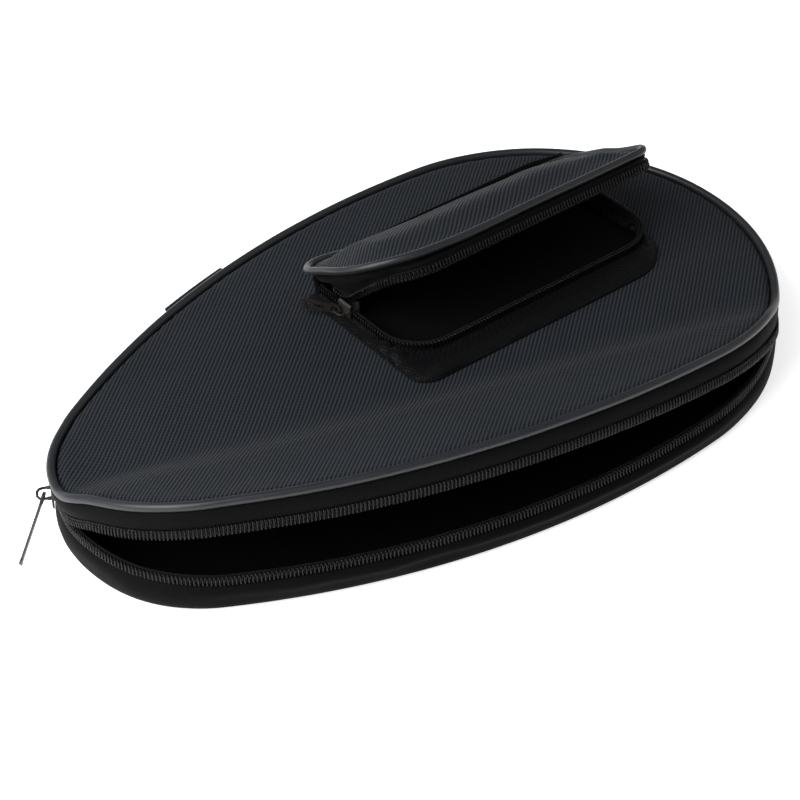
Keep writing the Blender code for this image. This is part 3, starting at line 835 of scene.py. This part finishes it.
def quarter(cx, cy, r, first, steps):
    """Quarter circle round a centre, from this many quarter turns on."""
    turns = [math.pi / 2 * (first + k / steps) for k in range(steps + 1)]
    return [(cx + r * math.cos(a), cy + r * math.sin(a)) for a in turns]


STRIP = 150  # points along every strip of the pocket


def u_path(x0, x1, front, rear, left_corner, right_corner):
    """Plan path down the left side, along the front and up the right side, evenly spaced."""
    points = [(x0, rear)]
    points += quarter(x0 + left_corner, front + left_corner, left_corner, 2, 24)
    points += quarter(x1 - right_corner, front + right_corner, right_corner, 3, 24)
    points.append((x1, rear))
    return resample(even_path(np.array(points), 1.0), STRIP)


def inward(path):
    """Unit plan normals of an open path, towards the pocket's inside."""
    step = np.gradient(path[:, :2], axis=0)
    step /= np.linalg.norm(step, axis=1)[:, None]
    return np.column_stack([-step[:, 1], step[:, 0]])


base_line = u_path(-78.0, 48.0, -23.5, 44.0, 8.0, 22.0)
mouth_line = u_path(-73.0, 48.5, -11.0, 43.0, 17.0, 17.0)
foot_line = u_path(-73.0, 48.5, -11.0, 43.0, 17.0, 10.0)
row_line = u_path(-73.0, 48.5, -11.0, 35.0, 17.0, 10.0)

LID_BOX = (-83.5, 48.0, -10.0, 44.0)
REAR_RIGHT, REAR_LEFT, FRONT_LEFT, FRONT_RIGHT = 12.0, 14.0, 26.0, 6.5
rim_line = u_path(LID_BOX[0], LID_BOX[1], LID_BOX[2], 43.0, 25.0, 6.0)


def round_rear(x, y):
    """The rim line's ends bent in round the lid's two rear corners."""
    left = np.clip(y - 29.0, 0, REAR_LEFT - 0.3)
    right = np.clip(y - 31.0, 0, REAR_RIGHT - 0.3)
    left_in = REAR_LEFT - np.sqrt(REAR_LEFT**2 - left**2)
    right_in = REAR_RIGHT - np.sqrt(REAR_RIGHT**2 - right**2)
    return x + np.where(x < -20, left_in, -right_in)


rim_line[:, 0] = round_rear(rim_line[:, 0], rim_line[:, 1])


def strip(name, look, levels, turn=None, change=None):
    """A strip with a closed cross-section; levels are (plan path, inset, height) listed round it."""
    rings = []
    normals = [inward(path) for path, _, _ in levels]
    for i in range(STRIP):
        ring = [np.append(path[i] + n[i] * inset, z) for (path, inset, z), n in zip(levels, normals)]
        ring = np.array(ring)
        if change is not None:
            ring = change(ring, i)
        rings.append(ring)
    rings = np.array(rings)
    if turn is not None:
        rings = turn(rings.reshape(-1, 3)).reshape(rings.shape)
    return skin(name, [to_frame(r) for r in rings], look, False)


# the pocket's low gusset, its sewn foot and its floor
WELT_R, WELT_Z = 0.55, 30.85
GUSSET_LOOSE = np.array([0.1, 0.9, 1.0, 0.6, 0.1, 0.05, 0.1, 0.5, 0.9, 0.5, 0.1])


def gusset_soft(ring, i):
    """Loose cloth: folds that run up the slope, deeper at the two front corners."""
    ring = ring.copy()
    t = i / (STRIP - 1)
    corner = math.exp(-(((t - 0.19) / 0.035) ** 2)) + math.exp(-(((t - 0.80) / 0.035) ** 2))
    fold = noise.noise(Vector((i * 0.16, 2.0, 0.3))) + 0.5 * noise.noise(Vector((i * 0.55, 7.0, 0.3)))
    pinch = 1.1 * math.cos((t - 0.20) * 210.0) * math.exp(-(((t - 0.20) / 0.045) ** 2))
    ring[:, 2] += GUSSET_LOOSE * (fold + 1.3 * corner + pinch)
    return ring


gusset_levels = [
    (base_line, -0.6, 30.75), (base_line, 0.6, 31.6), (base_line, 2.6, 32.3), (base_line, 5.2, 32.6),
    (mouth_line, -1.3, 32.7), (mouth_line, -0.5, 33.0), (mouth_line, -0.4, 32.2), (mouth_line, -1.6, 31.9),
    (base_line, 5.0, 31.9), (base_line, 2.4, 31.6), (base_line, 0.4, 30.75),
]
gusset = strip("pocket_gusset_cloth", POCKET_CLOTH, gusset_levels, change=gusset_soft)
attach(gusset, "case")
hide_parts("pocket_gusset")

foot_ring = np.vstack([base_line, even_path(base_line[[-1, 0]], 3.0)[1:-1]])
welt_path = np.column_stack([foot_ring, np.full(len(foot_ring), WELT_Z)])
welt = tube("pocket_welt_seam", to_frame(welt_path), WELT_R * MM, POCKET_CLOTH, sides=8, closed=True)
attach(welt, "case")
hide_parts("pocket_welt")


BAG_FLOOR, BAG_FLOOR_Z, BAG_FLOOR_THICK = (-72.0, 45.5, -13.0, 43.5), 31.05, 0.35


def bag_floor():
    """Dark lining patch on the case's top, inside the pocket."""
    x0, x1, y0, y1 = BAG_FLOOR
    nx, ny = 64, 34
    xs, ys = np.linspace(x0, x1, nx), np.linspace(y0, y1, ny)
    flat = np.array([(x, y) for y in ys for x in xs])
    z = BAG_FLOOR_Z + 0.25 * swell(flat, 9.0, 4.0)
    top_points = np.column_stack([flat, z])
    low_points = np.column_stack([flat, z - BAG_FLOOR_THICK])
    faces = []
    for j in range(ny - 1):
        for k in range(nx - 1):
            a = j * nx + k
            faces.append((a, a + 1, a + nx + 1, a + nx))
            faces.append(tuple(len(flat) + v for v in (a, a + nx, a + nx + 1, a + 1)))
    rim = list(range(nx)) + [j * nx + nx - 1 for j in range(1, ny)]
    rim += [(ny - 1) * nx + k for k in range(nx - 2, -1, -1)] + [j * nx for j in range(ny - 2, 0, -1)]
    for k, here in enumerate(rim):
        there = rim[(k + 1) % len(rim)]
        faces.append((here, len(flat) + here, len(flat) + there, there))
    points = np.vstack([top_points, low_points])
    uv = np.vstack([flat, flat]) * MM
    return outward(add_mesh("pocket_floor_cloth", to_frame(points), faces, LINING, uv))


pocket_floor = bag_floor()
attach(pocket_floor, "case")

# lower row of the pocket's zip
low_row_levels = [
    (mouth_line, -0.15, 31.8), (mouth_line, -0.05, 35.3), (mouth_line, 0.25, 35.6),
    (mouth_line, 0.85, 35.4), (mouth_line, 1.0, 31.5), (mouth_line, 0.4, 31.4),
]
pocket_tape = strip("pocket_lower_tape_cloth", TAPE, low_row_levels)
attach(pocket_tape, "case")
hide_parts("pocket_lower_tape")


def path_coil(name, path, z, heads, turn=None):
    """One row's coil along an open plan path."""
    fine = even_path(path, 0.25)
    normal = -inward(fine)
    length = run_of(fine)
    turns = int(length[-1] / PITCH) - 1
    along, across, away = coil_points(turns, *POCKET_COIL_HALF, notch=0.22)
    along = along + PITCH * (0.5 if heads == HEADS_UP else 1.0)
    plan = []
    for axis in (0, 1):
        on_line = np.interp(along, length, fine[:, axis])
        plan.append(on_line + np.interp(along, length, normal[:, axis]) * (ROW_OUT + away))
    points = np.column_stack([*plan, z + across * heads])
    if turn is not None:
        points = turn(points)
    return wire(name, to_frame(points), POCKET_COIL_R * MM, COIL)


pocket_coil = path_coil("pocket_lower_coil_wire", mouth_line, POCKET_ROW_Z, HEADS_UP)
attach(pocket_coil, "case")
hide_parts("pocket_lower_coil")


BACK_LEFT, BACK_RIGHT = -75.0, 47.5


def back_wall():
    """Rear wall of the pocket, up to the lid's seam: bowed back, and tucked in at its two ends."""
    columns = 60
    rings = []
    for k in range(columns):
        x = BACK_LEFT + (BACK_RIGHT - BACK_LEFT) * k / (columns - 1)
        full = smooth(min(k, columns - 1 - k) / 8.0)
        bow = full + 0.6 * noise.noise(Vector((x / 14.0, 3.0, 1.0)))
        section = [
            (44.2, 30.8), (45.6 + bow * 0.5, 32.5), (46.5 + bow, 35.5), (47.1 + bow, 38.4),
            (47.5 + bow * 0.6, 41.5), (47.2, 43.2), (46.6, 43.2), (46.7, 41.0), (46.4, 38.2),
            (45.3, 35.5), (44.5, 32.8), (43.4, 31.0),
        ]
        rings.append(np.array([(x, y - 2.5 * (1 - full), z) for y, z in section]))
    return skin("pocket_back_wall_cloth", [to_frame(r) for r in rings], POCKET_CLOTH, False)


rear = back_wall()
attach(rear, "case")
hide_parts("pocket_back_wall")

# ------------------------------------------------------------------ pocket lid
LID_PIPE_R, LID_PIPE_Z, LID_TOP, LID_MIDDLE_Y = 1.5, 45.6, 45.75, 17.5


def lid_outline(inset):
    """Closed plan outline of the lid, moved in from its piping."""
    x0, x1, y0, y1 = LID_BOX[0] + inset, LID_BOX[1] - inset, LID_BOX[2] + inset, LID_BOX[3] - inset
    corners = ((x1, y1, REAR_RIGHT), (x0, y1, REAR_LEFT), (x0, y0, FRONT_LEFT), (x1, y0, FRONT_RIGHT))
    points = []
    for first, (cx, cy, corner) in enumerate(corners):
        r = max(corner - inset, 1.0)
        points += quarter(cx + (r if cx == x0 else -r), cy + (r if cy == y0 else -r), r, first, 14)
    points.append(points[0])
    return resample(np.array(points), 241)[:-1]


def lid_settle(points):
    """How far the soft lid drops below flat: towards its rear seam, along the front, and at the right end."""
    x, y = points[:, 0], points[:, 1]
    rear = (1.0 + 4.5 * smooth((x + 78.0) / 40.0)) * smooth((y - 17.0) / 26.0)
    front = 2.0 * smooth((x + 78.0) / 40.0) * (1 - smooth((y + 4.0) / 16.0))
    right = 3.6 * smooth((x - 6.0) / 34.0) * smooth((y + 6.0) / 18.0) * (1 - smooth((y - 19.0) / 24.0))
    return rear + front + right


lid_edge = lid_outline(0.0)
lid_pipe_z = LID_PIPE_Z - lid_settle(lid_edge) + 0.25 * swell(lid_edge, 30.0, 2.0)
lid_pipe_path = np.column_stack([lid_edge, lid_pipe_z])
lid_pipe_line = to_frame(lid_turn(lid_pipe_path))
lid_piping = tube("lid_piping_vinyl", lid_pipe_line, LID_PIPE_R * MM, VINYL, sides=14, closed=True)
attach(lid_piping, "pocket_lid")
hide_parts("lid_piping")


def crowned(name, look, inset, spine, height, thickness, shares):
    """Closed lid cloth between its rim and a spine line; height(points, depth inside the rim) is its top."""
    rim = lid_outline(inset)
    plan = np.array([rim + (spine - rim) * t for t in shares])
    reach = np.linalg.norm(spine - rim, axis=1)
    depth = np.array([reach * t for t in shares]).ravel()
    flat = plan.reshape(-1, 2)
    top = np.column_stack([flat, height(flat, depth)])
    points = np.vstack([top, top - np.array([0, 0, thickness])])
    uv = np.vstack([flat, flat]) * MM
    faces = shell_faces(*plan.shape[:2], flat_cap)
    return outward(add_mesh(name, to_frame(lid_turn(points)), faces, look, uv))


def lid_height(flat, depth):
    """Top of the lid's cloth: sunk beside the piping, then crowned, less so towards the rear seam."""
    slow = swell(flat, 26.0, 6.0)
    groove = -1.0 * np.exp(-(((depth - 0.8) / 0.9) ** 2))
    fall = 13.0 + 8.0 * smooth(-flat[:, 0] / 60.0)
    crown = 4.0 * smooth(depth / 17.0) * (1 - 0.9 * smooth((flat[:, 1] - fall) / 25.0))
    return LID_TOP + groove + crown + 0.5 * slow * smooth(depth / 9.0) - lid_settle(flat)


def lid_lining_height(flat, depth):
    return lid_height(flat, depth) - 1.6


lid_rim = lid_outline(1.4)
lid_spine_x = np.clip(lid_rim[:, 0], LID_BOX[0] + 26, LID_BOX[1] - 26)
lid_spine = np.column_stack([lid_spine_x, np.full(len(lid_rim), LID_MIDDLE_Y)])
lid_shares = np.concatenate([np.linspace(0, 0.2, 7)[:-1], np.linspace(0.2, 0.985, 18)])
lid_cloth = crowned("lid_cloth", NYLON, 1.4, lid_spine, lid_height, 1.0, lid_shares)
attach(lid_cloth, "pocket_lid")
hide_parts("lid_panel")
lid_lining = crowned("lid_lining_cloth", LINING, 2.0, lid_spine, lid_lining_height, 0.4, lid_shares[::2])
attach(lid_lining, "pocket_lid")

# the lid's side cloth and zip row: turned up with the lid, but low down at the left, where ROW_SHARE gives
# the share of the turn at each y of ROW_AT, they come down to the case beside the slider
SIDE_LOW, SIDE_HIGH = 37.0, 54.0
ROW_AT = (-3.0, 0.0, 5.0, 10.0, 15.0, 20.0, 25.0, 29.0)
ROW_SHARE = (1.0, 0.97, 0.91, 0.83, 0.69, 0.50, 0.16, 0.0)


def side_turn(points):
    """Shut-lid points at rest: all of the turn above, and less of it low down towards the slider."""
    shut = np.atleast_2d(np.asarray(points, float))
    low = 1 - smooth((shut[:, 2] - 40.2) / 3.4)
    left = smooth((-30.0 - shut[:, 0]) / 20.0)
    return lid_turn(shut, 1 - (1 - np.interp(shut[:, 1], ROW_AT, ROW_SHARE)) * left * low)


def side_blend(piece):
    """Fabric held by the case below and by the lid above: only its placement is baked into its mesh."""
    start = to_frame([[-15.0, 20.0, SIDE_LOW]])[0]
    end = to_frame([[-15.0, 20.0, SIDE_HIGH]])[0]
    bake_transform(piece)


def lid_wall_soft(ring, i):
    """Folds along the lid's side cloth, whose top follows the settled piping."""
    normal = -inward(rim_line)[i]
    middle = np.sin(np.clip((ring[:, 2] - 40.0) / 4.6, 0, 1) * np.pi)
    fold = 0.55 * noise.noise(Vector((i * 0.11, 5.0, 0.7))) + 0.25 * noise.noise(Vector((i * 0.5, 9.0, 0.7)))
    ring = ring.copy()
    ring[:, :2] += (middle * fold)[:, None] * normal
    ring[:, 2] -= lid_settle(ring) * smooth((ring[:, 2] - 41.0) / 3.0)
    return ring


wall_levels = [
    (foot_line, -0.1, 40.0), (foot_line, -0.4, 40.5), (foot_line, -1.0, 41.4), (rim_line, 2.4, 42.6),
    (rim_line, 0.9, 43.8), (rim_line, 0.5, 44.9), (rim_line, 1.5, 44.9), (rim_line, 2.0, 43.8),
    (rim_line, 3.4, 42.6), (foot_line, 0.1, 41.4), (foot_line, 0.9, 40.0),
]
lid_wall = strip("lid_wall_cloth", WALL, wall_levels, turn=side_turn, change=lid_wall_soft)
side_blend(lid_wall)
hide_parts("lid_wall")
lid_tape_levels = [
    (row_line, 0.25, 36.5), (row_line, -0.05, 36.8), (row_line, -0.05, 40.6),
    (row_line, 0.3, 41.2), (row_line, 0.95, 41.2), (row_line, 0.9, 36.6),
]
lid_tape = strip("lid_tape_cloth", TAPE, lid_tape_levels, turn=side_turn)
side_blend(lid_tape)
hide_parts("lid_zip_tape")
lid_coil = path_coil("lid_coil_wire", row_line, LID_ROW_Z, HEADS_DOWN, turn=side_turn)
side_blend(lid_coil)
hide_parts("lid_zip_coil")

# ------------------------------------------------------------------ metal
METAL_NODES = (
    "slider_body", "slider_bail", "pull_tab", "pocket_slider_body", "pocket_slider_bail", "pocket_pull_tab",
)
for name in METAL_NODES:
    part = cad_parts[name]
    part.data.materials.clear()
    part.data.materials.append(METAL)
    soften = part.modifiers.new("soften", "BEVEL")
    soften.width = 0.12 * MM
    soften.segments = 2
    soften.limit_method = "ANGLE"

# the small lugs that hold each bail on its slider's outer plate, in frame millimetres
SLIDER_ANGLE = math.radians(151.5)
LUG_FROM, LUG_TO, LUG_SIDE, LUG_R = 54.2, 56.0, 2.9, 0.72
POCKET_LUG = np.array([-7.3, 25.25, 36.0])
POCKET_LUG_LONG, POCKET_LUG_SIDE, POCKET_LUG_R = 1.25, 2.5, 0.46
tip_centre = CASE - np.array([CENTRES, 0.0])
reach = np.array([math.cos(SLIDER_ANGLE), math.sin(SLIDER_ANGLE)])
beside = np.array([-reach[1], reach[0]])


def lug(name, body, foot, end, radius):
    piece = tube(name, np.array([foot, (foot + end) / 2, end]) * MM, radius * MM, METAL, sides=12)
    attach(piece, body)


for word, sign in (("upper", 1), ("lower", -1)):
    middle = tip_centre + beside * LUG_SIDE * sign
    foot, end = (np.append(middle + reach * r, SPLIT_Z) for r in (LUG_FROM, LUG_TO))
    lug("slider_lug_" + word, "slider", foot, end, LUG_R)
    foot = POCKET_LUG + np.array([0.0, POCKET_LUG_SIDE * sign, 0.0])
    end = foot - np.array([POCKET_LUG_LONG, 0.0, 0.0])
    lug("pocket_slider_lug_" + word, "pocket_slider", foot, end, POCKET_LUG_R)
